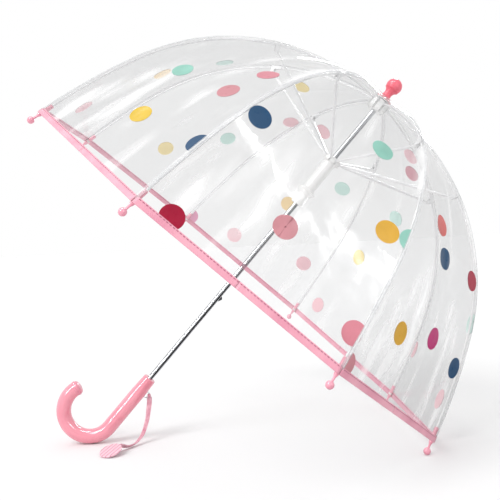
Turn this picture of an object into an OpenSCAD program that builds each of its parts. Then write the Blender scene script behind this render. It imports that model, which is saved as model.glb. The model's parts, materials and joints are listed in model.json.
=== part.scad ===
// Children's dome umbrella, open, resting on its hook and on two rib tips.
// The shaft lies along z in the umbrella's own frame, and place() leans it over onto the floor.

/* [Canopy] */
// Distance from the shaft's axis to the end of a rib
rim_r = 337; // [300:1:380]
// Lean of a rib from the shaft's direction at the rim, in degrees
lean_rim = 16.5; // [14:0.5:20]
// Lean where the straighter lower part meets the rounder upper part
lean_mid = 24; // [22:0.5:28]
// Lean at the bracket
lean_knee = 60; // [56:0.5:64]
// Lean at the crown
lean_crown = 88; // [85:0.5:89]
// Radius of the lower arc of a rib
lower_arc = 850; // [700:10:1000]
// Radius of the upper arc of a rib
upper_arc = 306; // [290:1:320]
// Thickness of the clear film
film_t = 0.4; // [0.3:0.1:0.8]
// Width of the pink hem
hem_w = 8.5; // [6:0.5:12]
// Thickness of the pink hem
hem_t = 1.2; // [0.8:0.1:1.6]

/* [Ribs and stretchers] */
// Radius of a rib rod
rod_r = 1.4; // [1.2:0.1:1.5]
// Radius of a stretcher between its ends
stretcher_r = 2; // [1.6:0.1:2.2]
// Radius of the ball on a rib's tip
ball_r = 4.5; // [3.5:0.1:5.5]

/* [Shaft and runner] */
// Radius of the chromed tube
shaft_r = 3.75; // [3:0.05:4.5]
// Height of the stretcher pivots above the rim when the umbrella is open
pivot_z = 207; // [195:1:215]
// Height of the runner's lower end above the rim when the umbrella is open
runner_low = 128; // [120:1:135]
// Radius of the runner's sleeve
sleeve_r = 8.75; // [7.5:0.05:8.9]
// Radius of the runner's flange
flange_r = 14.3; // [12:0.1:16]

/* [Handle] */
// Distance from the rim down to the top of the handle
handle_top = 190; // [180:1:200]
// Distance from the rim down to the centre of the hook's bend
hook_drop = 279; // [265:1:290]
// Radius of the hook's centre line
hook_r = 36; // [30:0.5:42]
// Radius of the handle's tube
grip_r = 10.2; // [9:0.1:11]
// Angle of the hook's bend, in degrees
hook_sweep = 198; // [180:1:210]

/* [Hidden] */
// Number of ribs and of film gores
rib_count = 8;
$fn = 48;
arc_fn = 720;
rod_fn = 24;

// Colours
chrome = [0.78, 0.79, 0.81];
pink = [0.95, 0.62, 0.68];
white = [0.95, 0.95, 0.95];
clear = [0.92, 0.95, 0.96, 0.35];
dark = [0.25, 0.25, 0.27];

// Clearances
run_gap = 0.06;
loose_gap = 0.3;
film_gap = 0.15;

// Pivots
pin_r = 0.9;
eye_r = 2.3;
eye_t = 2.6;
slot_w = 3.3;
crown_pivot_r = 11;
runner_pivot_r = 10.8;
bracket_drop = 6.5;

// Angle between neighbouring ribs, and the direction of the first one around the shaft
rib_step = 360 / rib_count;
first_rib = -1.5 * rib_step;
function rib_dir(i) = first_rib + (i - 1) * rib_step;

// A rib's centre line in its own plane, as [distance from the shaft, height above the rim].
// A lean of a makes the line run along [-sin(a), cos(a)], with [cos(a), sin(a)] outward.
tail_len = 22;
tie_len = 2.4;
function along(a) = [-sin(a), cos(a)];
function outward(a) = [cos(a), sin(a)];
function arc_end(p, r, a0, a1) = p + r * (outward(a1) - outward(a0));
tip_pt = [rim_r, 0];
tail_pt = tip_pt + tail_len * along(lean_rim);
mid_pt = arc_end(tail_pt, lower_arc, lean_rim, lean_mid);
knee_pt = arc_end(mid_pt, upper_arc, lean_mid, lean_knee);
inner_arc = (knee_pt[0] - crown_pivot_r) / (cos(lean_knee) - cos(lean_crown));
crown_pt = arc_end(knee_pt, inner_arc, lean_knee, lean_crown);
bracket_pt = knee_pt - bracket_drop * outward(lean_knee);
stretcher_vec = bracket_pt - [runner_pivot_r, pivot_z];
stretcher_len = norm(stretcher_vec);
stretcher_lean = atan2(stretcher_vec[0], stretcher_vec[1]);

// The tip's cap: a sleeve on the rod, a thin neck and a ball
cap_r = 2.6;
cap_len = 20;
neck_r = 1.4;
ball_drop = 12.5;
ball_pt = tip_pt - ball_drop * along(lean_rim);

// The film lies outside the rods: this is the gap from a rod's centre line to the film
film_off = 3.8;
half_gore = sin(rib_step / 2);

// Fold of the runner, worked out from the closed linkage
rib_close = 69;
crown_to_bracket = bracket_pt - crown_pt;
closed_lean = atan2(crown_to_bracket[0], -crown_to_bracket[1]) - rib_close;
closed_bracket = crown_pt + norm(crown_to_bracket) * [sin(closed_lean), -cos(closed_lean)];
closed_reach = closed_bracket[0] - runner_pivot_r;
travel = pivot_z - closed_bracket[1] + sqrt(pow(stretcher_len, 2) - pow(closed_reach, 2));

// Catches: one wedge serves the open runner and the other the closed one, through one window
catch_low = -44;
catch_high = catch_low + travel;
catch_out = 2.8;
catch_t = 1.6;
window_len = 13;
window_w = 3.4;
tube_wall = 0.7;

// How the umbrella leans: the floor touches the hook and the two lowest tips
low_y = ball_pt[0] * cos(rib_step / 2);
reach_y = low_y + hook_r;
reach_z = ball_pt[1] + hook_drop;
hook_outer = hook_r + grip_r;
lift = hook_outer - ball_r;
shaft_rise = acos(lift / norm([reach_y, reach_z])) - atan2(reach_z, reach_y);
up = sin(shaft_rise);
flat = cos(shaft_rise);
floor_z = flat * low_y - up * ball_pt[1] + ball_r;
left_x = -up * hook_r - flat * hook_drop - hook_outer;
right_x = max([for (p = side_line(film_off + film_t))
    up * p[0] * cos(rib_step / 2) + flat * p[1]]);
middle_x = (left_x + right_x) / 2;

// The wire staple on the underside of the handle
loop_z = -211;
loop_r = 4;
loop_wire = 0.8;
loop_y = 10.6;

// The strap hangs from the staple and lies on the floor, in the frame of the part
strap_r = 3;
strap_sides = 8;
strap_route = [
    [-154, 0, 61], [-154, 0, 54], [-155, -1, 47], [-156, -3, 40], [-157, -5, 33], [-159, -7, 26],
    [-161, -10, 19], [-164, -14, 12], [-168, -19, 7], [-172, -25, 4], [-177, -32, 3], [-182, -39, 4],
    [-187, -46, 7], [-190, -50, 9]
];
// Level direction across the strap's run, and the disc's size, place and tilt
strap_across = [0.83, -0.56, 0];
disc_r = 15;
disc_t = 2.4;
disc_turn = 124;
disc_tilt = 18;
disc_centre = [-199, -63, 6];

// Turns the umbrella's own frame into the frame of the part, with the floor at z = 0
module place() {
    multmatrix([
        [0, up, flat, -middle_x],
        [-1, 0, 0, 0],
        [0, -flat, up, floor_z],
        [0, 0, 0, 1]
    ]) children();
}

// Turns a rib's plane, x outward and z along the shaft, to the place of rib i
module on_rib(i) {
    place() rotate([0, 0, rib_dir(i)]) children();
}

// A rod bent to the arc from lean a0 to lean a1, which starts at p
module rod_arc(p, r, a0, a1) {
    centre = p - r * outward(a0);
    rotate([90, 0, 0])
        translate([centre[0], centre[1], 0])
            rotate([0, 0, a0])
                rotate_extrude(angle = a1 - a0, $fn = arc_fn)
                    translate([r, 0]) circle(r = rod_r, $fn = rod_fn);
}

// A round boss or a bore across a rib's plane at p
module cross_pin(p, r, len) {
    translate([p[0], 0, p[1]]) rotate([90, 0, 0]) cylinder(h = len, r = r, center = true);
}

// The bracket's side view, with the rod's pivot at the origin and the crown towards +x
module ear_outline() {
    reach = 9;
    circle(r = eye_r + 0.4);
    translate([0, -bracket_drop]) circle(r = eye_r + 0.4);
    translate([-eye_r - 0.4, -bracket_drop]) square([2 * eye_r + 0.8, bracket_drop]);
    translate([0, -eye_r]) square([reach, 2 * eye_r]);
}

// The white bracket: two ears with the pins of the rib's elbow and of the stretcher
module bracket() {
    ear_t = 1.3;
    sleeve_from = eye_r + 0.8;
    sleeve_to = 12;
    translate([knee_pt[0], 0, knee_pt[1]]) rotate([0, 90 - lean_knee, 0]) mirror([1, 0, 0]) {
        for (side = [-1, 1])
            translate([0, side * (slot_w + ear_t) / 2, 0])
                rotate([90, 0, 0]) linear_extrude(ear_t, center = true) ear_outline();
        translate([sleeve_from, -slot_w / 2 - 0.5, -eye_r])
            cube([sleeve_to - sleeve_from, slot_w + 1, 2 * eye_r]);
    }
    pin_len = slot_w + 2 * ear_t + 1.2;
    cross_pin(knee_pt, pin_r, pin_len);
    cross_pin(bracket_pt, pin_r, pin_len);
}

module rib_inner(i) {
    start = (eye_r + 3) / inner_arc * 180 / PI;
    color(white) on_rib(i) {
        difference() {
            union() {
                rod_arc(arc_end(knee_pt, inner_arc, lean_knee, lean_knee + start), inner_arc,
                        lean_knee + start, lean_crown);
                cross_pin(crown_pt, eye_r, eye_t);
            }
            cross_pin(crown_pt, pin_r + run_gap, 2 * slot_w);
        }
        bracket();
    }
}

// The tie that holds the film's seam to the rod
module seam_tie(p, lean) {
    translate([p[0], 0, p[1]]) rotate([0, -lean, 0])
        cylinder(h = tie_len, r = rod_r + 0.3, center = true, $fn = rod_fn);
}

module rib_outer(i) {
    color(white) on_rib(i) difference() {
        union() {
            rod_arc(mid_pt, upper_arc, lean_mid, lean_knee);
            rod_arc(tail_pt, lower_arc, lean_rim, lean_mid);
            translate([tip_pt[0], 0, tip_pt[1]]) rotate([0, -lean_rim, 0])
                cylinder(h = tail_len, r = rod_r, $fn = rod_fn);
            seam_tie(tail_pt, lean_rim);
            seam_tie(mid_pt, lean_mid);
            cross_pin(knee_pt, eye_r, eye_t);
        }
        cross_pin(knee_pt, pin_r + run_gap, 2 * slot_w);
    }
}

module stretcher(i) {
    end_len = 9;
    thin_r = 1.35;
    fat_len = stretcher_len - 2 * end_len;
    color(white) on_rib(i) translate([runner_pivot_r, 0, pivot_z]) rotate([0, stretcher_lean, 0])
        difference() {
            union() {
                cylinder(h = stretcher_len, r = thin_r, $fn = rod_fn);
                translate([0, 0, end_len]) cylinder(h = fat_len, r = stretcher_r, $fn = rod_fn);
                cross_pin([0, 0], 1.6, 2 * thin_r);
                cross_pin([0, stretcher_len], eye_r, eye_t);
            }
            cross_pin([0, stretcher_len], pin_r + run_gap, 2 * slot_w);
        }
}

// The film's line at a rib, as points off outside the rod, from above the hem up to the bracket
function side_line(off) = concat(
    [for (s = [hem_w + 0.05, tail_len]) tip_pt + s * along(lean_rim) + off * outward(lean_rim)],
    [for (a = [lean_rim + 2.5:2.5:lean_mid])
        arc_end(tail_pt, lower_arc, lean_rim, a) + off * outward(a)],
    [for (a = [lean_mid + 4:4:lean_knee - 4])
        arc_end(mid_pt, upper_arc, lean_mid, a) + off * outward(a)],
    [knee_pt + off * outward(lean_knee) - film_gap * along(lean_knee)]
);

// The same line from the bracket up to the crown
function top_line(off) = concat(
    [knee_pt + off * outward(lean_knee) + film_gap * along(lean_knee)],
    [for (a = [lean_knee + 4:4:lean_crown])
        arc_end(knee_pt, inner_arc, lean_knee, a) + off * outward(a)]
);

// The same line along the hem
function hem_line(off) = [for (s = [0, hem_w]) tip_pt + s * along(lean_rim) + off * outward(lean_rim)];

// A point of the film, side -1, 0 or 1 for the two gores' middles and the rib between them
function film_point(p, side) =
    let (w = 1 - film_gap / (p[0] * half_gore), across = side * w * p[0] / 2)
    [p[0] - abs(across) * (1 - cos(rib_step)), across * sin(rib_step), p[1]];

// One ring of six points through the film's thickness
function film_ring(inner, outer) = [
    film_point(inner, -1), film_point(inner, 0), film_point(inner, 1),
    film_point(outer, 1), film_point(outer, 0), film_point(outer, -1)
];

// A band of film from the middle of one gore over a rib to the middle of the next gore
module film_band(inner, outer) {
    rows = len(inner);
    last = 6 * (rows - 1);
    polyhedron(
        points = [for (k = [0:rows - 1]) each film_ring(inner[k], outer[k])],
        faces = concat(
            [for (k = [0:rows - 2], j = [0:5])
                let (a = 6 * k + j, b = 6 * k + (j + 1) % 6) each [[a, b, b + 6], [a, b + 6, a + 6]]],
            [[0, 4, 1], [0, 5, 4], [1, 3, 2], [1, 4, 3]],
            [for (f = [[0, 1, 4], [0, 4, 5], [1, 2, 3], [1, 3, 4]]) f + [last, last, last]]
        ),
        convexity = 4
    );
}

module canopy_side(i) {
    color(clear) on_rib(i) film_band(side_line(film_off), side_line(film_off + film_t));
}

module canopy_top(i) {
    color(clear) on_rib(i) film_band(top_line(film_off), top_line(film_off + film_t));
}

// The hem's band on both faces of the film, and the cap on the rib's end
module hem_and_tip(i) {
    proud = (hem_t - film_t) / 2;
    color(pink) on_rib(i) {
        film_band(hem_line(film_off - proud), hem_line(film_off + film_t + proud));
        translate([tip_pt[0], 0, tip_pt[1]]) rotate([0, 180 - lean_rim, 0]) difference() {
            union() {
                rotate_extrude() polygon([
                    [0, 1 - cap_len], [cap_r - 0.5, 1 - cap_len], [cap_r, 2 - cap_len], [cap_r, 0.5],
                    [cap_r - 0.6, 2], [neck_r, 4], [neck_r, ball_drop], [0, ball_drop]
                ]);
                translate([0, 0, ball_drop]) sphere(r = ball_r);
            }
            translate([0, 0, -cap_len]) cylinder(h = cap_len + 0.3, r = rod_r + run_gap);
        }
    }
}

// Eight slots around a hub, each from distance r outward and from height z0 to z1
module hub_slots(r, z0, z1) {
    for (i = [1:rib_count])
        rotate([0, 0, rib_dir(i)]) translate([r, -slot_w / 2, z0]) cube([20, slot_w, z1 - z0]);
}

module shaft() {
    low = 11 - hook_drop;
    high = crown_pt[1] + 26;
    color(chrome) place() difference() {
        translate([0, 0, low]) cylinder(h = high - low, r = shaft_r);
        translate([0, 0, low - 1]) cylinder(h = high - low + 2, r = shaft_r - tube_wall);
        for (z = [catch_low, catch_high])
            translate([-catch_t / 2 - loose_gap, 0, z - 4]) cube([catch_t + 2 * loose_gap, 8, 13]);
    }
}

// A spring catch: a wedge that stands out of the tube, and its leg inside the tube
module catch(z) {
    inside = 0.9;
    translate([0, 0, z]) rotate([90, 0, 90]) linear_extrude(catch_t, center = true) polygon([
        [inside, -3], [shaft_r, -3], [shaft_r + catch_out, 2], [shaft_r + catch_out, 3.4],
        [shaft_r, 6], [inside, 8.5], [inside, 22], [inside - 0.8, 22], [inside - 0.8, -3]
    ]);
}

module top_catch() {
    color(dark) place() catch(catch_high);
}

module bottom_catch() {
    color(dark) place() catch(catch_low);
}

module crown_notch() {
    notch_r = 14;
    low = crown_pt[1] - 13;
    high = crown_pt[1] + 3.2;
    core_r = crown_pivot_r - eye_r - 0.3;
    color(white) place() {
        difference() {
            rotate_extrude() polygon([
                [shaft_r + run_gap, low], [notch_r - 3, low], [notch_r, low + 3], [notch_r, high - 1],
                [notch_r - 1, high], [shaft_r + run_gap, high]
            ]);
            hub_slots(core_r, low - 1, crown_pt[1] + eye_r + 0.25);
        }
        for (i = [1:rib_count])
            rotate([0, 0, rib_dir(i)]) cross_pin([crown_pivot_r, crown_pt[1]], pin_r, slot_w + 0.6);
    }
}

module canopy_washer() {
    low = crown_pt[1] + film_off + film_t + loose_gap;
    color(white) place() difference() {
        translate([0, 0, low]) cylinder(h = 1.2, r = 12.6);
        translate([0, 0, low - 1]) cylinder(h = 4, r = shaft_r + run_gap);
    }
}

// The pink ferrule: a flared foot, a waist and a ball
module ferrule() {
    low = crown_pt[1] + film_off + film_t + loose_gap + 1.2;
    foot_r = 12.2;
    waist_r = 5.8;
    cove_r = 9;
    ball = 11.2;
    ball_z = 25;
    color(pink) place() translate([0, 0, low]) difference() {
        union() {
            rotate_extrude() difference() {
                square([foot_r, ball_z - 6]);
                translate([waist_r + cove_r, 11.3]) circle(r = cove_r);
                translate([foot_r - 1, 8]) square([4, 20]);
            }
            translate([0, 0, ball_z]) sphere(r = ball);
        }
        translate([0, 0, -1]) cylinder(h = 21, r = shaft_r + run_gap);
    }
}

// The runner: a collar with open slots for the stretchers, a sleeve, a flange and a short foot
module runner() {
    bore_r = shaft_r + 0.08;
    collar_r = 12.6;
    collar_low = pivot_z - 4;
    collar_high = pivot_z + 3.4;
    flange_z = runner_low + 23;
    slot_r = runner_pivot_r - 1.6 - 0.2;
    color(white) place() difference() {
        rotate_extrude() polygon([
            [bore_r, runner_low], [sleeve_r - 0.6, runner_low], [sleeve_r, runner_low + 2],
            [sleeve_r - 0.6, flange_z - 7], [flange_r - 1, flange_z - 1], [flange_r, flange_z],
            [flange_r - 1, flange_z + 0.6], [sleeve_r, flange_z + 5], [sleeve_r, collar_low - 2],
            [collar_r, collar_low], [collar_r, collar_high - 0.8], [collar_r - 0.8, collar_high],
            [bore_r, collar_high]
        ]);
        hub_slots(slot_r, collar_low - 3, collar_high + 1);
        translate([-window_w / 2, 0, catch_high - 5]) cube([window_w, 20, window_len]);
    }
}

// The handle: a tapered neck, a straight grip and the hook
module handle() {
    neck_len = 26;
    neck_top_r = 9;
    straight = hook_drop - handle_top;
    bore_len = 80;
    color(pink) place() difference() {
        union() {
            translate([0, 0, -hook_drop]) cylinder(h = straight - neck_len, r = grip_r);
            translate([0, 0, -handle_top - neck_len])
                cylinder(h = neck_len - 1, r1 = grip_r, r2 = neck_top_r);
            translate([0, 0, -handle_top - 1])
                cylinder(h = 1, r1 = neck_top_r, r2 = neck_top_r - 1);
            translate([0, -hook_r, -hook_drop]) rotate([0, 0, 90]) rotate([-90, 0, 0])
                rotate_extrude(angle = hook_sweep, $fn = 180) translate([hook_r, 0]) circle(r = grip_r);
        }
        translate([0, 0, -handle_top - bore_len]) cylinder(h = bore_len + 1, r = shaft_r + run_gap);
        for (s = [-1, 1])
            translate([0, shaft_r + 1.5, loop_z + s * loop_r]) rotate([-90, 0, 0])
                cylinder(h = 12, r = loop_wire + run_gap);
    }
}

// The plug that closes the hook's open end, with a raised ring
module handle_end_plug() {
    ring_r = grip_r + 0.5;
    color(pink) place() translate([0, -hook_r, -hook_drop]) rotate([180 - hook_sweep, 0, 0])
        translate([0, -hook_r, 0.05]) rotate_extrude() polygon([
            [0, 0], [ring_r - 0.5, 0], [ring_r, 0.6], [ring_r, 2.6], [ring_r - 0.9, 3.2],
            [ring_r - 1.2, 5], [ring_r - 3, 6.6], [ring_r - 6, 7.6], [0, 8]
        ]);
}

// A wire staple on the underside of the handle
module strap_loop() {
    color(chrome) place() {
        translate([0, loop_y, loop_z]) rotate([0, 90, 0])
            rotate_extrude(angle = 180, $fn = 96)
                translate([loop_r, 0]) circle(r = loop_wire, $fn = rod_fn);
        for (s = [-1, 1])
            translate([0, shaft_r + 2, loop_z + s * loop_r]) rotate([-90, 0, 0])
                cylinder(h = loop_y - shaft_r - 2, r = loop_wire, $fn = rod_fn);
    }
}

// A round tube along a route, closed at both ends
module tube(route, r, sides, across) {
    count = len(route);
    function unit(v) = v / norm(v);
    function ring(k) =
        let (
            d = unit(route[min(k + 1, count - 1)] - route[max(k - 1, 0)]),
            v = unit(cross(d, across)),
            u = cross(v, d)
        )
        [for (j = [0:sides - 1]) route[k] + r * (cos(360 * j / sides) * u + sin(360 * j / sides) * v)];
    polyhedron(
        points = [for (k = [0:count - 1]) each ring(k)],
        faces = concat(
            [for (k = [0:count - 2], j = [0:sides - 1])
                let (a = sides * k + j, b = sides * k + (j + 1) % sides)
                each [[a, b + sides, b], [a, a + sides, b + sides]]],
            [[for (j = [0:sides - 1]) j], [for (j = [sides - 1:-1:0]) sides * (count - 1) + j]]
        ),
        convexity = 6
    );
}

module strap() {
    color(pink) tube(strap_route, strap_r, strap_sides, strap_across);
}

module strap_disc() {
    color(pink) translate(disc_centre) rotate([0, 0, -disc_turn]) rotate([0, disc_tilt, 0])
        rotate_extrude() polygon([
            [0, -disc_t / 2], [disc_r - 0.4, -disc_t / 2], [disc_r, -disc_t / 2 + 0.4],
            [disc_r, disc_t / 2 - 0.4], [disc_r - 0.4, disc_t / 2], [0, disc_t / 2]
        ]);
}

shaft();
handle();
handle_end_plug();
crown_notch();
canopy_washer();
ferrule();
runner();
top_catch();
bottom_catch();
strap_loop();
strap();
strap_disc();
for (i = [1:rib_count]) {
    rib_inner(i);
    rib_outer(i);
    stretcher(i);
    hem_and_tip(i);
    canopy_top(i);
    canopy_side(i);
}
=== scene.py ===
import json
import math

import bmesh
import bpy
from mathutils import Matrix, Vector, noise


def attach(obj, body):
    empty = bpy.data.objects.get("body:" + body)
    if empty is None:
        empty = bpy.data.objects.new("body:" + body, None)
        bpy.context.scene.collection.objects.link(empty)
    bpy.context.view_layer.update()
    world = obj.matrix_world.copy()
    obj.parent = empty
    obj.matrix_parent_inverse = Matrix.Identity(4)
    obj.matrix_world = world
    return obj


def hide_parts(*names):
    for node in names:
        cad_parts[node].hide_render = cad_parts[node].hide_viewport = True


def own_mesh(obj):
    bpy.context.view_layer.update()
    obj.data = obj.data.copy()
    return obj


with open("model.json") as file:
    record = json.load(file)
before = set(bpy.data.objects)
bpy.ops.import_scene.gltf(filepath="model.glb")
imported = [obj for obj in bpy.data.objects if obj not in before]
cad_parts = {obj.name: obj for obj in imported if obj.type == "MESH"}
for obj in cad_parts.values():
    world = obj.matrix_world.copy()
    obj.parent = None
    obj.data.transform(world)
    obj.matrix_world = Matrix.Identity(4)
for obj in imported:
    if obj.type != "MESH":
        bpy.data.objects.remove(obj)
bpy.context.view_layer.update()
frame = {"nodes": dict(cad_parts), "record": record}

# Everything is in metres and in the frame of the part. Heights on the canopy, called s, are
# measured along a rib from the rim towards the crown.
MM = 0.001
RIBS = range(1, 9)
RIB_STEP = math.radians(45)
FIRST_RIB = -1.5 * RIB_STEP
HALF_GORE = math.sin(RIB_STEP / 2)

# The rib's line: its tip's distance from the shaft, its lean at the rim, part way up, at the
# bracket and at the crown, the straight tail's length, the radii of the two arcs below the
# bracket, and how far from the shaft's axis the rib turns at the crown
RIM_R = 0.337
LEAN_RIM, LEAN_MID, LEAN_KNEE, LEAN_CROWN = (math.radians(a) for a in (16.5, 24, 60, 88))
TAIL_LEN = 0.022
LOWER_ARC = 0.850
UPPER_ARC = 0.306
CROWN_PIVOT_R = 0.011
# The film lies this far outside the rib's middle line, and the hem has this width and thickness
FILM_OFF = 0.004
HEM_W = 0.0085
HEM_T = 0.0012

# How the film departs from a straight gore: its sag between two ribs, the fold along its middle
# line with the fold's width as a share of the gore, and wrinkles as (scale of the noise, height)
SAG = 0.0045
FOLD_RISE = 0.0011
FOLD_SHARE = 0.06
LONG_WAVE = (9, 0.0030)
SHORT_WAVE = (23, 0.0011)
FINE_RIDGE = (31, 0.0012)
# Wrinkles fade out within this distance of the rim, and keep this share of their height at the
# crown
CALM_RIM = 0.03
CALM_CROWN = 0.35


# ---------------------------------------------------------------- camera and strap come first

def make_camera():
    """The photograph's view: level with the rim, and rolled by under three degrees."""
    data = bpy.data.cameras.new("camera")
    data.lens = 52.29
    data.sensor_width = 36
    camera = bpy.data.objects.new("camera", data)
    bpy.context.scene.collection.objects.link(camera)
    forward = Vector((0.0083, 0.9999, -0.0139)).normalized()
    down = Vector((-0.0490, -0.0135, -0.9987))
    right = down.cross(forward).normalized()
    up = right.cross(forward).normalized()
    turn = Matrix((right, up, -forward)).transposed()
    camera.matrix_world = Matrix.Translation((-0.0115, -1.0147, 0.2735)) @ turn.to_4x4()
    bpy.context.scene.camera = camera


make_camera()

STRAP_EXIT = (-0.154, 0, 0.061)
STRAP_ROUTE = [
    STRAP_EXIT, (-0.154, 0, 0.054), (-0.155, -0.001, 0.047), (-0.156, -0.003, 0.040),
    (-0.157, -0.005, 0.033), (-0.159, -0.007, 0.026), (-0.161, -0.010, 0.019),
    (-0.164, -0.014, 0.012), (-0.168, -0.019, 0.007), (-0.172, -0.025, 0.004),
    (-0.177, -0.032, 0.003), (-0.182, -0.039, 0.004), (-0.187, -0.046, 0.007),
    (-0.190, -0.050, 0.009),
]
STRAP_WIDTH = 0.007
STRAP_THICK = 0.0016
ACROSS_TOP = Vector((1, -0.15, 0))
ACROSS_END = Vector((0.60, -0.40, 0.62))


# ---------------------------------------------------------------- the umbrella's own frame

joints = {j["name"]: j for j in frame["record"]["behaviour"]["joints"]}
SHAFT = -Vector(joints["runner_slide"]["axis"]).normalized()
FRONT = Vector((0, -1, 0))
LOW = SHAFT.cross(FRONT)


def arc_end(point, radius, a0, a1):
    """Where an arc from the point ends, when its lean goes from a0 to a1."""
    return (point[0] + radius * (math.cos(a1) - math.cos(a0)),
            point[1] + radius * (math.sin(a1) - math.sin(a0)))


TIP = (RIM_R, 0.0)
TAIL = (RIM_R - TAIL_LEN * math.sin(LEAN_RIM), TAIL_LEN * math.cos(LEAN_RIM))
MID = arc_end(TAIL, LOWER_ARC, LEAN_RIM, LEAN_MID)
KNEE = arc_end(MID, UPPER_ARC, LEAN_MID, LEAN_KNEE)
INNER_ARC = (KNEE[0] - CROWN_PIVOT_R) / (math.cos(LEAN_KNEE) - math.cos(LEAN_CROWN))
CROWN = arc_end(KNEE, INNER_ARC, LEAN_KNEE, LEAN_CROWN)
S_MID = TAIL_LEN + LOWER_ARC * (LEAN_MID - LEAN_RIM)
S_KNEE = S_MID + UPPER_ARC * (LEAN_KNEE - LEAN_MID)
S_CROWN = S_KNEE + INNER_ARC * (LEAN_CROWN - LEAN_KNEE)

crown_pins = [Vector(joints[f"rib_fold_{i}"]["pos_m"]) for i in RIBS]
ORIGIN = sum(crown_pins, Vector()) / len(crown_pins) - SHAFT * CROWN[1]


def rib_angle(i):
    """Where rib number i stands round the shaft."""
    return FIRST_RIB + (i - 1) * RIB_STEP


def radial(angle):
    """The direction away from the shaft at an angle round it."""
    return math.cos(angle) * FRONT + math.sin(angle) * LOW


def rib_line(s):
    """Distance from the shaft, height above the rim and lean of a rib, at s along it."""
    if s < TAIL_LEN:
        return TIP[0] - s * math.sin(LEAN_RIM), s * math.cos(LEAN_RIM), LEAN_RIM
    if s < S_MID:
        lean = LEAN_RIM + (s - TAIL_LEN) / LOWER_ARC
        return *arc_end(TAIL, LOWER_ARC, LEAN_RIM, lean), lean
    if s < S_KNEE:
        lean = LEAN_MID + (s - S_MID) / UPPER_ARC
        return *arc_end(MID, UPPER_ARC, LEAN_MID, lean), lean
    lean = LEAN_KNEE + (s - S_KNEE) / INNER_ARC
    return *arc_end(KNEE, INNER_ARC, LEAN_KNEE, lean), lean


def rib_point(i, s, off=0.0):
    """A point of rib number i at s, moved outwards by off."""
    r, z, lean = rib_line(s)
    r, z = r + off * math.cos(lean), z + off * math.sin(lean)
    return ORIGIN + r * radial(rib_angle(i)) + z * SHAFT


def half_width(s):
    """Half of a gore's width at s."""
    return rib_line(s)[0] * HALF_GORE


def relief(point, s, v):
    """How far the film stands out from a straight gore: it sags in a little between two ribs,
    keeps the crease of its fold along the middle, and has shallow wrinkles."""
    slack = 1 - v * v
    rise = math.sin(math.pi * min(s / S_CROWN, 1))
    rim = min(s / CALM_RIM, 1)
    sag = -SAG * slack * rise
    fold = FOLD_RISE * math.exp(-((v / FOLD_SHARE) ** 2)) * rise
    wave = sum(noise.noise(point * scale) * height for scale, height in (LONG_WAVE, SHORT_WAVE))
    scale, height = FINE_RIDGE
    fine = (0.5 - abs(noise.noise(point * scale + Vector((3, 1, 7))))) * height
    return sag + fold + (wave + fine) * slack * rim * (CALM_CROWN + (1 - CALM_CROWN) * rise)


def film_point(gore, s, v, off=FILM_OFF):
    """A point of the gore between rib number gore and the next, with v from -1 to 1 across."""
    r, z, lean = rib_line(s)
    r, z = r + off * math.cos(lean), z + off * math.sin(lean)
    a = rib_angle(gore)
    share = (v + 1) / 2
    flat = ORIGIN + r * ((1 - share) * radial(a) + share * radial(a + RIB_STEP)) + z * SHAFT
    normal = math.cos(lean) * radial(a + RIB_STEP / 2) + math.sin(lean) * SHAFT
    return flat + relief(flat, s, v) * normal


def half_gore(rib, side):
    """The gore beside a rib, and the v of its points at the rib."""
    return (rib, -1) if side > 0 else ((rib - 2) % 8 + 1, 1)


# ---------------------------------------------------------------- mesh helpers

def new_piece(name, verts, faces, mats, uvs=None, face_mats=None, smooth=True):
    """A mesh object; uvs belong to the points, and face_mats says which of mats a face has."""
    mesh = bpy.data.meshes.new(name)
    mesh.from_pydata([tuple(v) for v in verts], [], faces)
    for mat in mats:
        mesh.materials.append(mat)
    if uvs is not None:
        layer = mesh.uv_layers.new(name="UVMap")
        for loop in mesh.loops:
            layer.data[loop.index].uv = uvs[loop.vertex_index]
    for k, poly in enumerate(mesh.polygons):
        poly.use_smooth = smooth
        if face_mats is not None:
            poly.material_index = face_mats[k]
    mesh.validate()
    mesh.update()
    piece = bpy.data.objects.new(name, mesh)
    bpy.context.scene.collection.objects.link(piece)
    return piece


def round_angles(count):
    """Equal steps round a full turn."""
    return [2 * math.pi * k / count for k in range(count)]


def squared_off(value, power):
    """A sine or cosine with its sign kept and its size raised to a power below 1, which turns
    a round section into a flatter one."""
    return math.copysign(abs(value) ** power, value)


def grid_faces(rows, columns, flip=False, closed=False, start=0):
    """Faces of a grid of points; a closed grid joins its last column to the first."""
    faces = []
    for k in range(rows - 1):
        for j in range(columns if closed else columns - 1):
            a, b = start + k * columns + j, start + k * columns + (j + 1) % columns
            face = (a, b, b + columns, a + columns)
            faces.append(face[::-1] if flip else face)
    return faces


def tube_faces(rows, ring, start=0):
    """Faces of a tube made of rings of points, with both ends closed."""
    last = start + (rows - 1) * ring
    ends = [tuple(range(start, start + ring))[::-1], tuple(range(last, last + ring))]
    return grid_faces(rows, ring, closed=True, start=start) + ends


# Outwards also means a little upwards, where the film lies nearly level
UPWARD = 0.2


def outward_flip(verts, columns):
    """True if a grid's faces have to be turned over to look away from the shaft."""
    a, b, c = Vector(verts[0]), Vector(verts[1]), Vector(verts[columns])
    normal = (b - a).cross(c - a)
    from_origin = a - ORIGIN
    from_axis = from_origin - from_origin.dot(SHAFT) * SHAFT
    return normal.dot(from_axis + UPWARD * SHAFT) < 0


# ---------------------------------------------------------------- materials

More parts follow.
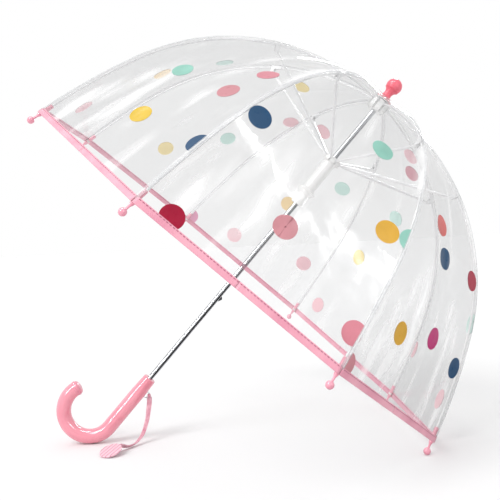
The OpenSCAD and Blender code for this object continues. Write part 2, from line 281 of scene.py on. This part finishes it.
class Nodes:
    """A principled material and short ways to add noise, ramps and bumps to it."""

    def __init__(self, name, color, roughness, **sockets):
        self.mat = bpy.data.materials.new(name)
        self.mat.use_nodes = True
        self.tree = self.mat.node_tree
        self.shader = self.tree.nodes["Principled BSDF"]
        self.set("Base Color", (*color, 1))
        self.set("Roughness", roughness)
        for key, value in sockets.items():
            self.set(key.replace("_", " "), value)

    def set(self, socket, value):
        self.shader.inputs[socket].default_value = value

    def add(self, kind, **values):
        node = self.tree.nodes.new(kind)
        for key, value in values.items():
            setattr(node, key, value)
        return node

    def link(self, out, into):
        self.tree.links.new(out, into)

    def noise(self, scale, detail=3.0, stretch=(1, 1, 1), uv=False):
        """A noise texture in object space, or in the piece's own uv."""
        coords = self.add("ShaderNodeTexCoord")
        mapping = self.add("ShaderNodeMapping")
        mapping.inputs["Scale"].default_value = stretch
        self.link(coords.outputs["UV" if uv else "Object"], mapping.inputs["Vector"])
        tex = self.add("ShaderNodeTexNoise")
        tex.inputs["Scale"].default_value = scale
        tex.inputs["Detail"].default_value = detail
        self.link(mapping.outputs["Vector"], tex.inputs["Vector"])
        return tex.outputs["Fac"]

    def span(self, source, low, high, at=(0.3, 0.7)):
        """Turns the values at of the source into low and high, and those between in proportion."""
        node = self.add("ShaderNodeMapRange")
        node.inputs["From Min"].default_value, node.inputs["From Max"].default_value = at
        node.inputs["To Min"].default_value, node.inputs["To Max"].default_value = low, high
        self.link(source, node.inputs["Value"])
        return node.outputs["Result"]

    def blend(self, factor, color_a, color_b):
        node = self.add("ShaderNodeMix", data_type="RGBA")
        node.inputs["A"].default_value = (*color_a, 1)
        node.inputs["B"].default_value = (*color_b, 1)
        self.link(factor, node.inputs["Factor"])
        return node.outputs["Result"]

    def bands(self, coords, scale, distortion=0.0, **kind):
        """Stripes."""
        wave = self.add("ShaderNodeTexWave", wave_type="BANDS", **kind)
        wave.inputs["Scale"].default_value = scale
        wave.inputs["Distortion"].default_value = distortion
        self.link(coords, wave.inputs["Vector"])
        return wave.outputs["Fac"]

    def link_color(self, out):
        self.link(out, self.shader.inputs["Base Color"])

    def link_roughness(self, out):
        self.link(out, self.shader.inputs["Roughness"])

    def bump(self, source, strength, distance):
        node = self.add("ShaderNodeBump")
        node.inputs["Strength"].default_value = strength
        node.inputs["Distance"].default_value = distance
        self.link(source, node.inputs["Height"])
        self.link(node.outputs["Normal"], self.shader.inputs["Normal"])

    def vary(self, color_a, color_b, scale, rough, bump, grain):
        """Slow colour change, uneven roughness and a fine grain."""
        self.link_color(self.blend(self.span(self.noise(scale), 0, 1), color_a, color_b))
        self.link_roughness(self.span(self.noise(scale * 6), *rough))
        self.bump(self.noise(grain, 2.0), *bump)
        return self.mat


def plastic(name, color, dark, rough, coat, grain=700, bump=(0.06, 0.00015), gloss=0.5):
    """Moulded plastic in two close colours, under a clear coat."""
    nodes = Nodes(name, color, 0.15, IOR=1.5, Coat_Weight=coat, Coat_Roughness=0.05,
                  Specular_IOR_Level=gloss)
    return nodes.vary(color, dark, 25, rough, bump, grain)


def chrome_material():
    """Polished steel tube: mirror-like, in two greys and with the faintest unevenness."""
    nodes = Nodes("chrome", (0.52, 0.53, 0.55), 0.05, Metallic=1.0)
    nodes.link_roughness(nodes.span(nodes.noise(60, 4.0), 0.03, 0.09))
    patches = nodes.span(nodes.noise(14), 0, 1)
    nodes.link_color(nodes.blend(patches, (0.56, 0.57, 0.59), (0.46, 0.47, 0.49)))
    nodes.bump(nodes.noise(320, 3.0), 0.05, 0.0001)
    return nodes.mat


def film_material():
    """Clear film: nearly nothing face on, a pale grey sheen at a glancing angle, and white streaks
    of painted highlight that run up the gore."""
    nodes = Nodes("clear_film", (0.42, 0.44, 0.46), 0.08, IOR=1.6, Specular_IOR_Level=0.8)
    glance = nodes.add("ShaderNodeLayerWeight")
    glance.inputs["Blend"].default_value = 0.3
    # Streaks of painted highlight up the gore: they make the film less clear there
    painted_streak = nodes.noise(1.0, 2.0, (27, 5.5, 1), uv=True)
    add = nodes.add("ShaderNodeMath", operation="ADD", use_clamp=True)
    nodes.link(nodes.span(glance.outputs["Facing"], 0.14, 0.5, (0.0, 1.0)), add.inputs[0])
    nodes.link(nodes.span(painted_streak, 0.0, 0.34, (0.54, 0.74)), add.inputs[1])
    nodes.link(add.outputs["Value"], nodes.shader.inputs["Alpha"])
    nodes.link_roughness(nodes.span(nodes.noise(22, 4.0), 0.05, 0.17))
    # The painted highlight: the film's colour turns white where the streaks are strong
    painted_highlight = nodes.span(painted_streak, 0, 1, (0.52, 0.66))
    nodes.link_color(nodes.blend(painted_highlight, (0.40, 0.405, 0.41), (0.97, 0.97, 0.97)))
    nodes.bump(nodes.noise(26, 3.0), 0.32, 0.003)
    return nodes.mat


def weld_material():
    """Film that lies double in a weld: milky and rougher."""
    nodes = Nodes("film_weld", (0.70, 0.71, 0.72), 0.25, Alpha=0.34)
    return nodes.vary((0.80, 0.81, 0.82), (0.58, 0.60, 0.62), 60, (0.2, 0.4), (0.15, 0.0002), 500)


def ink_material(name, color):
    """A printed dot: glossy ink with a slightly uneven film."""
    nodes = Nodes(name, color, 0.3, Alpha=0.975, Specular_IOR_Level=0.12, Coat_Weight=0.06,
                  Coat_Roughness=0.12)
    darker = tuple(c * 0.86 for c in color)
    return nodes.vary(color, darker, 45, (0.25, 0.42), (0.10, 0.0003), 500)


def under_ink_painted_glow(name, color):
    """The dot as it shows from inside: a paler ink, with a painted glow that stands in for the light
    coming through the dot.
    """
    pale = tuple(1 - 0.72 * (1 - c ** 0.7) for c in color)
    # The emission is a painted glow, which stands in for the light that comes through the dot
    nodes = Nodes(name, pale, 0.4, Alpha=0.85, Specular_IOR_Level=0.2, Emission_Strength=0.20,
                  Emission_Color=(*pale, 1))
    return nodes.vary(pale, tuple(c * 0.93 for c in pale), 45, (0.3, 0.5), (0.10, 0.0003), 500)


def binding_material():
    """Pink edge binding: a woven tape with a soft sheen."""
    nodes = Nodes("hem_binding", (0.80, 0.36, 0.45), 0.6, Sheen_Weight=0.35, Sheen_Roughness=0.5)
    coords = nodes.add("ShaderNodeTexCoord")
    weave = nodes.bands(coords.outputs["UV"], 260, 1.2, bands_direction="DIAGONAL")
    patches = nodes.span(nodes.noise(30, 3.0), 0, 1)
    nodes.link_color(nodes.blend(patches, (0.82, 0.38, 0.47), (0.72, 0.27, 0.37)))
    nodes.link_roughness(nodes.span(nodes.noise(240), 0.45, 0.7))
    nodes.bump(weave, 0.5, 0.0003)
    return nodes.mat


def ribbon_material():
    """Gathered satin ribbon: fine lengthwise ribs."""
    nodes = Nodes("ribbon", (0.93, 0.56, 0.63), 0.45, Sheen_Weight=0.5, Sheen_Roughness=0.4)
    coords = nodes.add("ShaderNodeTexCoord")
    ribs = nodes.bands(coords.outputs["UV"], 700, 3.0, bands_direction="X")
    patches = nodes.span(nodes.noise(130, 3.0), 0, 1)
    nodes.link_color(nodes.blend(patches, (0.88, 0.48, 0.56), (0.66, 0.20, 0.30)))
    nodes.link_roughness(nodes.span(nodes.noise(300), 0.35, 0.6))
    nodes.bump(ribs, 0.6, 0.0004)
    return nodes.mat


def thread_material(name, color):
    """Sewing thread: dull, with a strong fine grain."""
    nodes = Nodes(name, color, 0.7, Sheen_Weight=0.3)
    darker = tuple(c * 0.8 for c in color)
    return nodes.vary(color, darker, 200, (0.55, 0.8), (0.5, 0.0002), 2500)


def disc_material():
    """Soft pink plastic with diagonal embossed stripes."""
    nodes = Nodes("strap_disc", (0.93, 0.55, 0.62), 0.35, Coat_Weight=0.3)
    coords = nodes.add("ShaderNodeTexCoord")
    turn = nodes.add("ShaderNodeMapping")
    turn.inputs["Rotation"].default_value = (0, 0, math.radians(35))
    nodes.link(coords.outputs["Object"], turn.inputs["Vector"])
    stripes = nodes.bands(turn.outputs["Vector"], 55, bands_direction="X", wave_profile="TRI")
    darkness = nodes.span(stripes, 0, 1, (0.55, 0.95))
    nodes.link_color(nodes.blend(darkness, (0.86, 0.50, 0.58), (0.58, 0.22, 0.32)))
    nodes.link_roughness(nodes.span(nodes.noise(200), 0.28, 0.45))
    nodes.bump(stripes, 0.8, 0.0006)
    return nodes.mat


FILM = film_material()
WELD = weld_material()
BINDING = binding_material()
THREAD_PINK = thread_material("thread_pink", (0.38, 0.06, 0.13))
THREAD_WHITE = thread_material("thread_white", (0.92, 0.86, 0.85))
CAP = plastic("cap_pink", (0.84, 0.36, 0.45), (0.78, 0.30, 0.39), (0.22, 0.34), 0.3)
INK_COLORS = {
    "crimson": (0.36, 0.006, 0.035), "navy": (0.016, 0.070, 0.16), "gold": (0.68, 0.38, 0.045),
    "yellow": (0.70, 0.47, 0.025), "mint": (0.28, 0.56, 0.47), "dusty": (0.58, 0.25, 0.28),
    "pink": (0.64, 0.22, 0.27), "coral": (0.66, 0.14, 0.13), "magenta": (0.50, 0.03, 0.17),
}
# Each ink, and its paler inside layer with a painted glow
INKS = {name: (ink_material(f"ink_{name}", color), under_ink_painted_glow(f"ink_{name}_under", color))
        for name, color in INK_COLORS.items()}

# ---------------------------------------------------------------- the canopy

# Places of the layers over and under the film's surface
DOT_OVER = 0.0003
SEAM_OVER = 0.0005
# Halves of a gore's hem and of a dot that lies over a seam stop just short of the rib
HEM_SHARE = 0.996
DOT_SHARE = 0.985


def fold_away(piece, rib, part):
    """Lets a piece of half a gore ride on its rib, with a mesh of its own."""
    body = f"rib_inner_{rib}" if part == "top" else f"rib_outer_{rib}"
    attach(piece, body)
    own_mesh(piece)


# Both parts of the film stop short of each other at the bracket, and the lower one ends inside
# the hem, at this share of its width
PART_GAP = 0.0003
FILM_IN_HEM = 0.6
PARTS = {"top": (S_KNEE + PART_GAP / 2, S_CROWN),
         "side": (HEM_W * FILM_IN_HEM, S_KNEE - PART_GAP / 2)}
# Grids of the film and the seams. The film's columns crowd towards the gore's middle line by
# this power. A seam reaches this far to each side of the rib, but at most this share of a half gore
ROWS = {"top": 30, "side": 64}
COLUMNS = 26
COLUMN_CROWDING = 1.15
SEAM_REACH = 0.0027
SEAM_COLUMNS = 7
SEAM_MOST = 0.9
SIDE_NAMES = {1: "right", -1: "left"}


def make_film(rib, side, part):
    """Half a gore's film above or below the bracket."""
    gore, v_rib = half_gore(rib, side)
    low, high = PARTS[part]
    rows = ROWS[part]
    verts, uvs = [], []
    for k in range(rows):
        s = low + (high - low) * k / (rows - 1)
        wide = half_width(s)
        for j in range(COLUMNS):
            v = v_rib * (j / (COLUMNS - 1)) ** COLUMN_CROWDING
            verts.append(film_point(gore, s, v))
            uvs.append((v * wide, s))
    flip = outward_flip(verts, COLUMNS)
    piece = new_piece(f"film_{part}_{rib}_{SIDE_NAMES[side]}", verts,
                      grid_faces(rows, COLUMNS, flip), [FILM], uvs)
    return piece


def make_seam(rib, part):
    """The welded seam over a rib: both gores' edges lie double there."""
    low, high = PARTS[part]
    rows = ROWS[part]
    verts, uvs = [], []
    for k in range(rows):
        s = low + (high - low) * k / (rows - 1)
        for j in range(SEAM_COLUMNS):
            x = SEAM_REACH * (2 * j / (SEAM_COLUMNS - 1) - 1)
            side = 1 if x >= 0 else -1
            gore, v_rib = half_gore(rib, side)
            v = v_rib * (1 - min(abs(x) / half_width(s), SEAM_MOST))
            verts.append(film_point(gore, s, v, FILM_OFF + SEAM_OVER))
            uvs.append((x, s))
    flip = outward_flip(verts, SEAM_COLUMNS)
    piece = new_piece(f"seam_{part}_{rib}", verts, grid_faces(rows, SEAM_COLUMNS, flip), [WELD], uvs)
    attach(piece, f"rib_inner_{rib}" if part == "top" else f"rib_outer_{rib}")
    return piece


DOT_R = 0.0131
# Printed dots of each gore: height above the rim and distance from the gore's middle line, in mm
DOTS = {
    1: [(79, 8, "yellow"), (160, -33, "mint"), (90, 116, "navy"), (167, 57, "dusty"),
        (223, 54, "pink")],
    2: [(160, -91, "navy"), (14, -90, "crimson"), (82, 0, "dusty"), (243, 30, "mint"),
        (153, 84, "gold"), (162, 109, "mint"), (42, 117, "pink")],
    3: [(226, -22, "coral"), (189, -7, "navy"), (201, 80, "crimson"), (76, -53, "gold"),
        (99, 20, "magenta"), (90, 96, "navy"), (13, -124, "dusty"), (42, -135, "pink")],
    4: [(153, -99, "mint"), (85, 112, "pink"), (48, -83, "pink")],
    5: [(255, 6, "mint"), (155, 55, "yellow"), (39, 88, "pink"), (389, -21, "pink"),
        (355, -20, "crimson")],
    6: [(243, -48, "mint"), (150, 4, "gold"), (311, 37, "pink"), (39, 42, "pink"),
        (82, -85, "pink"), (14, 124, "magenta")],
    7: [(167, -39, "mint"), (79, 20, "yellow"), (345, 11, "yellow"), (277, -66, "pink")],
    8: [(158, -4, "gold"), (250, -41, "mint"), (42, 34, "pink")],
}


def dot_outline(bm, s0, x0):
    """A round patch of the film as a flat mesh in s and v, made of rings."""
    rings, spokes = 8, 36
    centre = bm.verts.new((s0, x0 / half_width(s0), 0))
    last = None
    for k in range(1, rings + 1):
        ring = []
        for angle in round_angles(spokes):
            s = s0 + DOT_R * k / rings * math.cos(angle)
            x = x0 + DOT_R * k / rings * math.sin(angle)
            ring.append(bm.verts.new((s, x / half_width(max(s, 0)), 0)))
        for j in range(spokes):
            n = (j + 1) % spokes
            bm.faces.new((centre, ring[j], ring[n]) if last is None
                         else (last[j], ring[j], ring[n], last[n]))
        last = ring


def cut(bm, point, normal):
    """Cuts away what lies beyond a plane."""
    bmesh.ops.bisect_plane(bm, geom=bm.verts[:] + bm.edges[:] + bm.faces[:],
                           plane_co=point, plane_no=normal, clear_outer=True)


def make_dots(rib, side, part):
    """The dots of half a gore, each an ink layer outside the film and a paler one inside, which has
    a painted glow.
    """
    gore, v_rib = half_gore(rib, side)
    low, high = PARTS[part]
    verts, faces, face_mats, names, uvs = [], [], [], [], []
    for height, across, ink in DOTS[gore]:
        bm = bmesh.new()
        dot_outline(bm, height * MM, across * MM)
        cut(bm, (max(low, HEM_W), 0, 0), (-1, 0, 0))
        cut(bm, (high, 0, 0), (1, 0, 0))
        cut(bm, (0, 0, 0), (0, -v_rib, 0))
        cut(bm, (0, v_rib * DOT_SHARE, 0), (0, v_rib, 0))
        if bm.faces and ink not in names:
            names.append(ink)
        bm.verts.index_update()
        for layer, off in enumerate((DOT_OVER, -DOT_OVER)):
            start = len(verts)
            for vert in bm.verts:
                s, v = vert.co.x, vert.co.y
                verts.append(film_point(gore, s, v, FILM_OFF + off))
                uvs.append((v * half_width(s), s))
            for face in bm.faces:
                faces.append([start + vert.index for vert in face.verts])
                face_mats.append(2 * names.index(ink) + layer)
        bm.free()
    if not faces:
        return None
    piece = new_piece(f"dots_{part}_{rib}_{SIDE_NAMES[side]}", verts, faces,
                      [coat for n in names for coat in INKS[n]], uvs, face_mats)
    return piece


HEM_COLUMNS = 40
HEM_SECTION = [(squared_off(math.cos(angle), 0.45), squared_off(math.sin(angle), 0.6))
               for angle in round_angles(14)]
# The binding's thickness varies by this share, this many radians for a half gore
HEM_RIPPLE = 0.12
RIPPLE_TURN = 260
# A stitch as (place along its length, radius) and where its row runs on the binding, as a share
# of the binding's width and thickness
STITCH_PITCH = 0.0042
STITCH_LEN = 0.0028
STITCH = ((-0.5, 0.00018), (-0.3, 0.00042), (0.3, 0.00042), (0.5, 0.00018))
STITCH_SIDES = 6
STITCH_AT = 0.8
STITCH_OUT = 0.52


def make_hem(rib, side):
    """Half of a gore's edge binding, folded over the film, with a row of stitches."""
    gore, v_rib = half_gore(rib, side)
    verts, uvs = [], []
    for j in range(HEM_COLUMNS):
        share = j / (HEM_COLUMNS - 1)
        v = v_rib * (share * HEM_SHARE)
        for a, b in HEM_SECTION:
            s = HEM_W / 2 * (1 + a)
            off = FILM_OFF + HEM_T / 2 * b * (1 + HEM_RIPPLE * math.sin(v * RIPPLE_TURN))
            verts.append(film_point(gore, s, v, off))
            uvs.append((v * half_width(0), s))
    faces = tube_faces(HEM_COLUMNS, len(HEM_SECTION))
    face_mats = [0] * len(faces)
    length = half_width(0)
    for face_off in (1, -1):
        for k in range(int(length / STITCH_PITCH)):
            start = len(verts)
            for end, thick in STITCH:
                x = (k + 0.5) * STITCH_PITCH + end * STITCH_LEN
                for angle in round_angles(STITCH_SIDES):
                    s = HEM_W * STITCH_AT + thick * math.cos(angle)
                    off = FILM_OFF + face_off * HEM_T * STITCH_OUT + thick * math.sin(angle)
                    verts.append(film_point(gore, s, v_rib * x / length, off))
                    uvs.append((x, s))
            stitch_faces = tube_faces(len(STITCH), STITCH_SIDES, start)
            faces += stitch_faces
            face_mats += [1] * len(stitch_faces)
    piece = new_piece(f"hem_{rib}_{SIDE_NAMES[side]}", verts, faces, [BINDING, THREAD_PINK],
                      uvs, face_mats)
    fix_normals(piece)
    return piece


def fix_normals(piece):
    """Turns the faces of a closed mesh outwards."""
    bm = bmesh.new()
    bm.from_mesh(piece.data)
    bmesh.ops.recalc_face_normals(bm, faces=bm.faces)
    bm.to_mesh(piece.data)
    bm.free()


def lathe(profile, base, axis, segments=32):
    """Points and faces of a turned shape: profile is (distance along the axis, radius)."""
    side = axis.orthogonal().normalized()
    other = axis.cross(side)
    verts = []
    for along, radius in profile:
        for angle in round_angles(segments):
            spoke = math.cos(angle) * side + math.sin(angle) * other
            verts.append(base + along * axis + radius * spoke)
    return verts, tube_faces(len(profile), segments)


def round_end(centre, radius, start, stop, steps):
    """Points of a lathe profile along a ball."""
    angles = [start + (stop - start) * k / steps for k in range(steps + 1)]
    return [(centre - radius * math.cos(a), max(radius * math.sin(a), 0.00002)) for a in angles]


# The thread round a cap: the radius of the thread, the radius it lies at and its three turns
THREAD_R = 0.00042
WRAP_R = 0.00275
WRAPS = (-0.0062, -0.0053, -0.0044)


def make_cap(rib):
    """The cap on a rib's tip: a sleeve, a thin neck and a ball, with the thread that ties it."""
    tip = rib_point(rib, 0)
    axis = (tip - rib_point(rib, 0.01)).normalized()
    ball_at, ball_r, neck_r = 0.0125, 0.0045, 0.0014
    profile = [(-0.0190, 0.00150), (-0.0190, 0.00205), (-0.0187, 0.0024), (-0.0180, 0.0026),
               (-0.0120, 0.00262), (-0.0060, 0.0026), (0.0000, 0.0026), (0.0008, 0.0025),
               (0.0020, 0.0020), (0.0032, 0.00155), (0.0042, neck_r), (0.0065, neck_r)]
    profile += round_end(ball_at, ball_r, math.asin(neck_r / ball_r), math.pi, 16)
    verts, faces = lathe(profile, tip, axis)
    face_mats = [0] * len(faces)
    for at in WRAPS:
        around = round_angles(8) + [2 * math.pi]
        ring, ring_faces = lathe([(at + THREAD_R * math.cos(a), WRAP_R + THREAD_R * math.sin(a))
                                  for a in around], tip, axis)
        ring_faces = ring_faces[:-2]
        faces += [tuple(len(verts) + q for q in face) for face in ring_faces]
        verts += ring
        face_mats += [1] * len(ring_faces)
    piece = new_piece(f"tip_cap_{rib}", verts, faces, [CAP, THREAD_WHITE], None, face_mats)
    fix_normals(piece)
    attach(piece, f"rib_outer_{rib}")
    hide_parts(f"hem_and_tip_{rib}")
    return piece


for rib in RIBS:
    make_cap(rib)
    seams = {part: make_seam(rib, part) for part in PARTS}
    for side in (1, -1):
        hem = make_hem(rib, side)
        for part in PARTS:
            film = make_film(rib, side, part)
            dots = make_dots(rib, side, part)
            extras = [dots] if dots else []
            if part == "side":
                extras.append(hem)
            for piece in [film, *extras]:
                fold_away(piece, rib, part)
            if side > 0:
                extras.append(seams[part])
                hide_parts(f"canopy_{part}_{rib}")

# ---------------------------------------------------------------- the strap


STRAP_RING = 16
# The ribbon's gathers as (share of the thickness, radians for a metre), and its pleats as
# (height, radians for a metre)
GATHERS = (0.05, 2600)
PLEATS = (0.0005, 90)


def smooth_path(points, steps):
    """A Catmull-Rom curve through the points, in so many steps from one to the next."""
    path = []
    for k in range(len(points) - 1):
        p0, p1 = points[max(k - 1, 0)], points[k]
        p2, p3 = points[k + 1], points[min(k + 2, len(points) - 1)]
        for j in range(steps):
            t = j / steps
            path.append(0.5 * (2 * p1 + (p2 - p0) * t + (2 * p0 - 5 * p1 + 4 * p2 - p3) * t * t
                               + (3 * p1 - 3 * p2 + p3 - p0) * t ** 3))
    return path + [points[-1]]


def make_strap():
    """A gathered ribbon that hangs from the staple and lies on the floor."""
    path = smooth_path([Vector(p) for p in STRAP_ROUTE], 6)
    gather_size, gather_turn = GATHERS
    pleat_size, pleat_turn = PLEATS
    verts, uvs = [], []
    run = 0.0
    for k, point in enumerate(path):
        ahead = path[min(k + 1, len(path) - 1)] - path[max(k - 1, 0)]
        ahead.normalize()
        across = ACROSS_TOP.lerp(ACROSS_END, k / (len(path) - 1))
        thick_way = ahead.cross(across).normalized()
        wide_way = thick_way.cross(ahead)
        run += (point - path[k - 1]).length if k else 0
        gather = 1 + gather_size * math.sin(run * gather_turn)
        for angle in round_angles(STRAP_RING):
            x = STRAP_WIDTH / 2 * math.cos(angle)
            pleat = pleat_size * math.sin(3 * math.pi * x / STRAP_WIDTH + run * pleat_turn)
            y = STRAP_THICK / 2 * squared_off(math.sin(angle), 0.7) * gather
            verts.append(point + wide_way * x + thick_way * (y + pleat))
            uvs.append((x, run))
    faces = tube_faces(len(path), STRAP_RING)
    piece = new_piece("strap_ribbon", verts, faces, [ribbon_material()], uvs)
    fix_normals(piece)
    return piece, path, run


# The turn of ribbon at the staple: how far its middle is above the strap's exit, its radius,
# half of its thickness and half of its width
EYE_RISE = 0.0015
EYE_R = 0.0022
EYE_THICK = 0.0007
EYE_WIDE = 0.0021


def make_strap_eye():
    """The ribbon's turn round the staple's wire."""
    centre = Vector(STRAP_EXIT) + Vector((0, 0, EYE_RISE))
    verts, uvs = [], []
    turns, ring = 28, 10
    wide_way, out, hang = Vector((1, 0, 0)), Vector((0, 1, 0)), Vector((0, 0, 1))
    for angle in round_angles(turns):
        spoke = math.cos(angle) * out + math.sin(angle) * hang
        for a in round_angles(ring):
            verts.append(centre + spoke * (EYE_R + EYE_THICK * math.cos(a))
                         + wide_way * EYE_WIDE * math.sin(a))
            uvs.append((0.002 * math.sin(a), EYE_R * angle))
    faces = []
    for k in range(turns):
        for j in range(ring):
            a, b = k * ring + j, k * ring + (j + 1) % ring
            c = ((k + 1) % turns) * ring
            faces.append((a, b, c + (j + 1) % ring, c + j))
    piece = new_piece("strap_eye", verts, faces, [bpy.data.materials["ribbon"]], uvs)
    fix_normals(piece)
    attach(piece, "shaft_and_handle")
    return piece


strap, strap_path, strap_length = make_strap()
strap_eye = make_strap_eye()
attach(strap, "shaft_and_handle")
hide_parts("strap")

# ---------------------------------------------------------------- finishes of the CAD pieces


def finish_nodes(names, mat):
    """Gives CAD pieces their material; their shape is left as it is."""
    for name in names:
        piece = frame["nodes"][name]
        piece.data.materials.clear()
        piece.data.materials.append(mat)


WHITE = plastic("white_plastic", (0.90, 0.90, 0.89), (0.84, 0.84, 0.83), (0.18, 0.30), 0.4)
PINK = plastic("pink_gloss", (0.83, 0.30, 0.37), (0.78, 0.26, 0.33), (0.05, 0.11), 0.8,
               grain=420, bump=(0.04, 0.0001))
CORAL = plastic("coral_gloss", (0.82, 0.17, 0.22), (0.76, 0.14, 0.19), (0.26, 0.34), 0.05,
                grain=420, bump=(0.02, 0.0001), gloss=0.22)
PLUG = plastic("pink_satin", (0.80, 0.30, 0.38), (0.74, 0.25, 0.33), (0.16, 0.26), 0.5)
ROD = plastic("white_rod", (0.86, 0.86, 0.86), (0.78, 0.78, 0.79), (0.22, 0.38), 0.3)
STEEL = Nodes("spring_steel", (0.10, 0.10, 0.11), 0.35, Metallic=0.8).vary(
    (0.12, 0.12, 0.13), (0.06, 0.06, 0.07), 200, (0.25, 0.5), (0.2, 0.0001), 1500)

finish_nodes(["shaft", "strap_loop"], chrome_material())
finish_nodes(["handle"], PINK)
finish_nodes(["ferrule"], CORAL)
finish_nodes(["handle_end_plug"], PLUG)
finish_nodes(["crown_notch", "canopy_washer", "runner"], WHITE)
finish_nodes(["top_catch", "bottom_catch"], STEEL)
finish_nodes(["strap_disc"], disc_material())
finish_nodes([f"{kind}_{i}" for kind in ("rib_inner", "rib_outer", "stretcher") for i in RIBS], ROD)

# ---------------------------------------------------------------- studio


def level_card(name, left, right, near, far, height, mat):
    """A level rectangle that belongs to the studio."""
    corners = [(left, near, 0), (right, near, 0), (right, far, 0), (left, far, 0)]
    card = new_piece(name, corners, [(0, 1, 2, 3)], [mat], smooth=False)
    card.location.z = height
    return card


def make_floor():
    """A matt white floor that reaches past the picture's edge on every side."""
    nodes = Nodes("floor", (0.80, 0.80, 0.80), 0.7, Specular_IOR_Level=0.0)
    mat = nodes.vary((0.805, 0.805, 0.805), (0.79, 0.79, 0.795), 3, (0.6, 0.8), (0.05, 0.0005), 60)
    level_card("floor", -30.0, 30.0, -30.0, 30.0, -0.0002, mat)


def make_flag():
    """A black card on the floor in front, which shows only as the dark band along the chrome."""
    mat = Nodes("flag", (0.004, 0.004, 0.004), 0.9).mat
    flag = level_card("flag", -0.14, 0.95, -0.95, -0.01, -0.0001, mat)
    flag.visible_camera = False
    flag.visible_diffuse = False
    flag.visible_transmission = False
    flag.visible_shadow = False


def aim_lamp(data, place_at, aim):
    """A lamp at a place, turned towards another."""
    lamp = bpy.data.objects.new(data.name, data)
    lamp.location = place_at
    lamp.rotation_euler = (Vector(aim) - Vector(place_at)).to_track_quat("-Z", "Y").to_euler()
    bpy.context.scene.collection.objects.link(lamp)
    return lamp


def make_sun(name, place_at, strength, softness):
    """Light from a far round source, as wide as softness in degrees."""
    data = bpy.data.lights.new(name, "SUN")
    data.energy = strength
    data.angle = math.radians(softness)
    aim_lamp(data, place_at, (0, 0, 0))


STRIP_AIM = (0, 0, 0.28)


def make_strip(name, place_at, radiance, size):
    """A narrow softbox that shows only as a highlight on glossy surfaces."""
    data = bpy.data.lights.new(name, "AREA")
    data.shape = "RECTANGLE"
    data.size, data.size_y = size
    data.energy = radiance * math.pi * size[0] * size[1]
    lamp = aim_lamp(data, place_at, STRIP_AIM)
    lamp.visible_diffuse = False


# The world is white towards WHITE_WAY and very slightly grey on the other side. The shift turns
# a direction's share of that way, -1 to 1, into a place on the ramp.
WHITE_WAY = (-0.45, 0.75, 0.48)
SHIFT = (0.5, 0.4)
WORLD_RAMP = ((0.0, (0.90, 0.90, 0.905, 1)), (0.55, (1.0, 1.0, 1.0, 1)))


def make_world():
    """White ahead of the camera and above, and slightly grey behind it and to the right."""
    world = bpy.data.worlds.new("studio")
    world.use_nodes = True
    bpy.context.scene.world = world
    tree = world.node_tree
    background = tree.nodes["Background"]
    coords = tree.nodes.new("ShaderNodeTexCoord")
    along = tree.nodes.new("ShaderNodeVectorMath")
    along.operation = "DOT_PRODUCT"
    along.inputs[1].default_value = Vector(WHITE_WAY).normalized()
    tree.links.new(coords.outputs["Generated"], along.inputs[0])
    ramp = tree.nodes.new("ShaderNodeValToRGB")
    for element, (position, color) in zip(ramp.color_ramp.elements, WORLD_RAMP):
        element.position = position
        element.color = color
    shift = tree.nodes.new("ShaderNodeMath")
    shift.operation = "MULTIPLY_ADD"
    shift.inputs[1].default_value, shift.inputs[2].default_value = SHIFT
    tree.links.new(along.outputs["Value"], shift.inputs[0])
    tree.links.new(shift.outputs["Value"], ramp.inputs["Fac"])
    tree.links.new(ramp.outputs["Color"], background.inputs["Color"])
    background.inputs["Strength"].default_value = 1.0


make_floor()
make_flag()
make_world()
make_sun("key", (-1.3, -1.4, 1.9), 1.5, 30)
make_strip("strip_left", (-1.6, -1.2, 1.3), 45, (0.14, 1.5))
make_strip("strip_right", (1.3, -1.7, 1.2), 35, (0.10, 1.3))
make_strip("strip_top", (-0.2, -0.4, 2.1), 40, (1.6, 0.16))
make_strip("strip_back", (0.8, 1.7, 1.4), 40, (0.14, 1.5))

scene = bpy.context.scene
scene.view_settings.view_transform = "Standard"
scene.cycles.transparent_max_bounces = 32
scene.cycles.seed = 1
